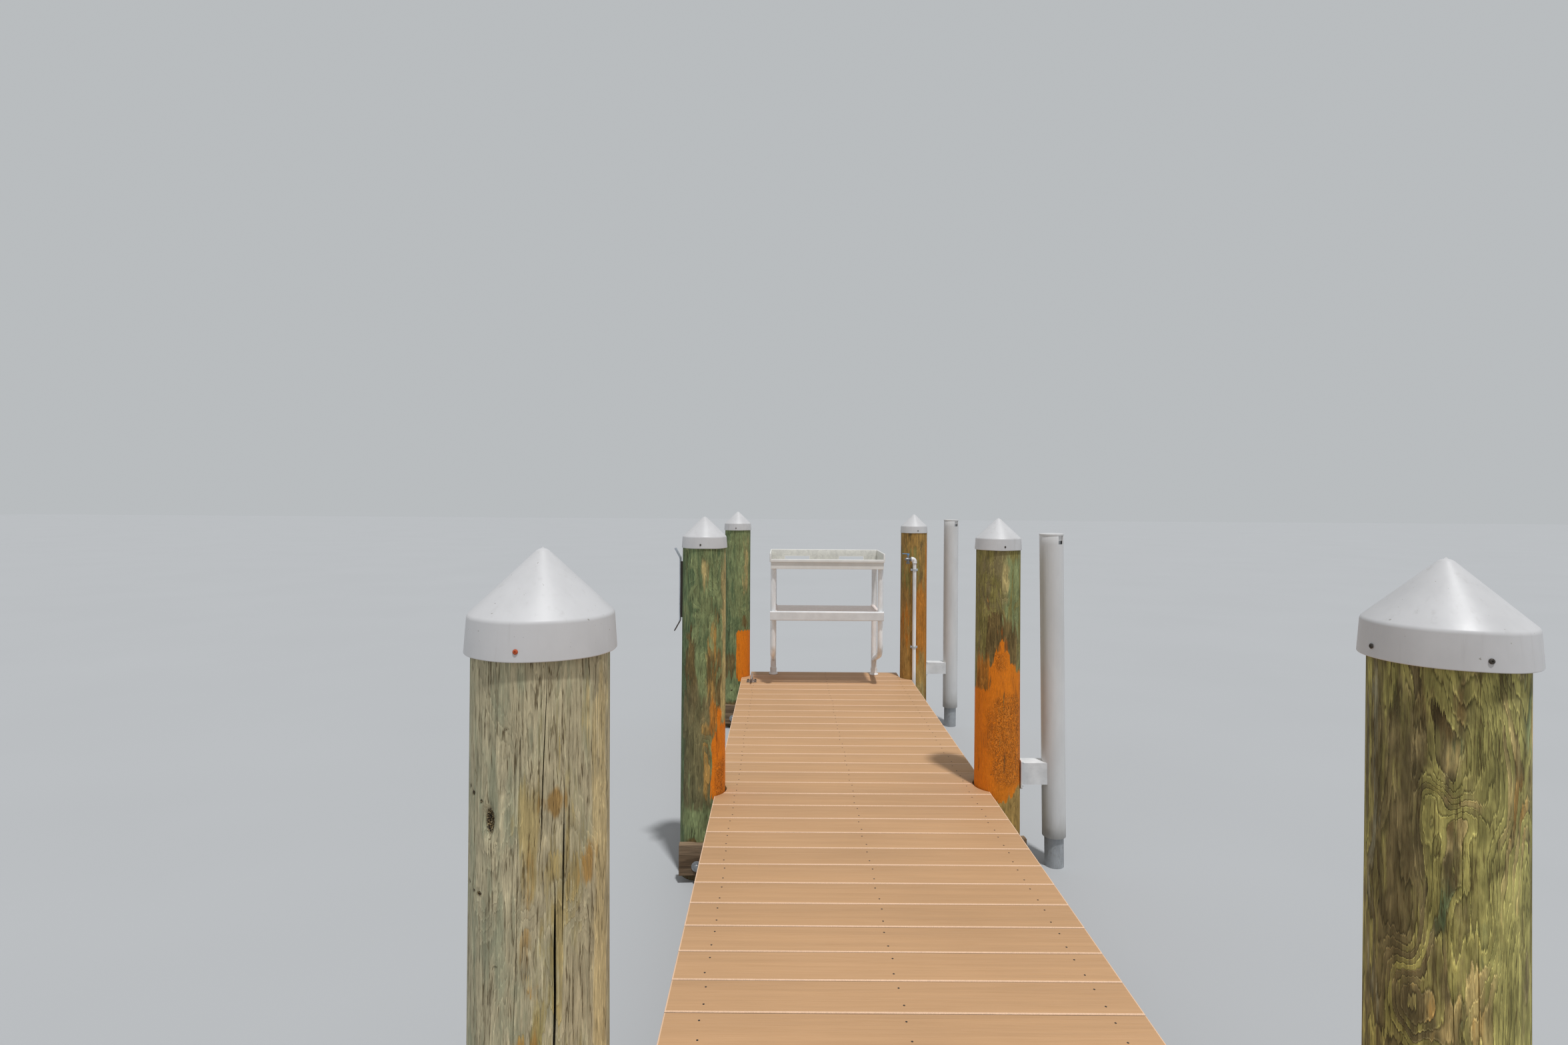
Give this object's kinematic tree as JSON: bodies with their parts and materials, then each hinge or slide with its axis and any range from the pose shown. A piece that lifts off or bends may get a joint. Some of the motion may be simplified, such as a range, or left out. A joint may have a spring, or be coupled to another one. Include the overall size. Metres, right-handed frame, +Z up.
{
  "type": "wooden jetty",
  "caption": "Narrow timber jetty on round capped piles, with a composite deck, cross beams, a cleaning table, a standpipe and guide poles for a float.",
  "frame": {"origin": "centre of the plan, at the water line where the piles' feet stand", "axes": "+Y along the jetty towards its far end, +X to the right of someone walking out, +Z up"},
  "size_m": [1.9078, 7.436, 1.665],
  "materials": {
    "pile_timber": "weathered treated round timber",
    "framing_timber": "weathered treated sawn timber",
    "deck_board": "grained composite board, satin",
    "cap_plastic": "white moulded plastic, satin",
    "sleeve_plastic": "pale grey-white plastic pipe",
    "galvanised_pipe": "dull galvanised, stained near the water",
    "bracket_enamel": "white powder coat",
    "table_enamel": "white powder coat, a little worn",
    "tray_moulding": "white moulding, mottled grey inside",
    "water_pipe": "white plastic pipe",
    "clamp_steel": "plain steel",
    "tap_brass": "dull brass",
    "handle_enamel": "blue enamel",
    "galvanised_casting": "galvanised casting, stained",
    "galvanised_bar": "galvanised flat bar"
  },
  "bodies": {
    "root": {"shore_left_pile": "pile_timber", "shore_left_cap": "cap_plastic", "shore_right_pile": "pile_timber", "shore_right_cap": "cap_plastic", "shore_cross_beam": "framing_timber", "near_left_pile": "pile_timber", "near_left_cap": "cap_plastic", "near_right_pile": "pile_timber", "near_right_cap": "cap_plastic", "near_cross_beams": "framing_timber", "mid_left_pile": "pile_timber", "mid_left_cap": "cap_plastic", "mid_right_pile": "pile_timber", "mid_right_cap": "cap_plastic", "mid_cross_beams": "framing_timber", "far_left_pile": "pile_timber", "far_left_cap": "cap_plastic", "far_right_pile": "pile_timber", "far_right_cap": "cap_plastic", "far_cross_beam": "framing_timber", "left_stringer": "framing_timber", "centre_stringer": "framing_timber", "right_stringer": "framing_timber", "shore_end_joist": "framing_timber", "far_end_joist": "framing_timber", "shore_bay_deck": "deck_board", "middle_bay_deck": "deck_board", "far_bay_deck": "deck_board", "guide_pole_cores": "galvanised_pipe", "guide_pole_caps": "sleeve_plastic", "mid_guide_pole_sleeve": "sleeve_plastic", "mid_guide_pole_bracket": "bracket_enamel", "far_guide_pole_sleeve": "sleeve_plastic", "far_guide_pole_bracket": "bracket_enamel", "table_feet": "table_enamel", "table_left_frame": "table_enamel", "table_right_frame": "table_enamel", "table_shelf": "table_enamel", "table_tray": "tray_moulding", "standpipe": "water_pipe", "pipe_clamps": "clamp_steel", "tap": "tap_brass", "tap_handle": "handle_enamel", "cleat": "galvanised_casting", "line_hanger": "galvanised_bar"}
  },
  "joints": []
}
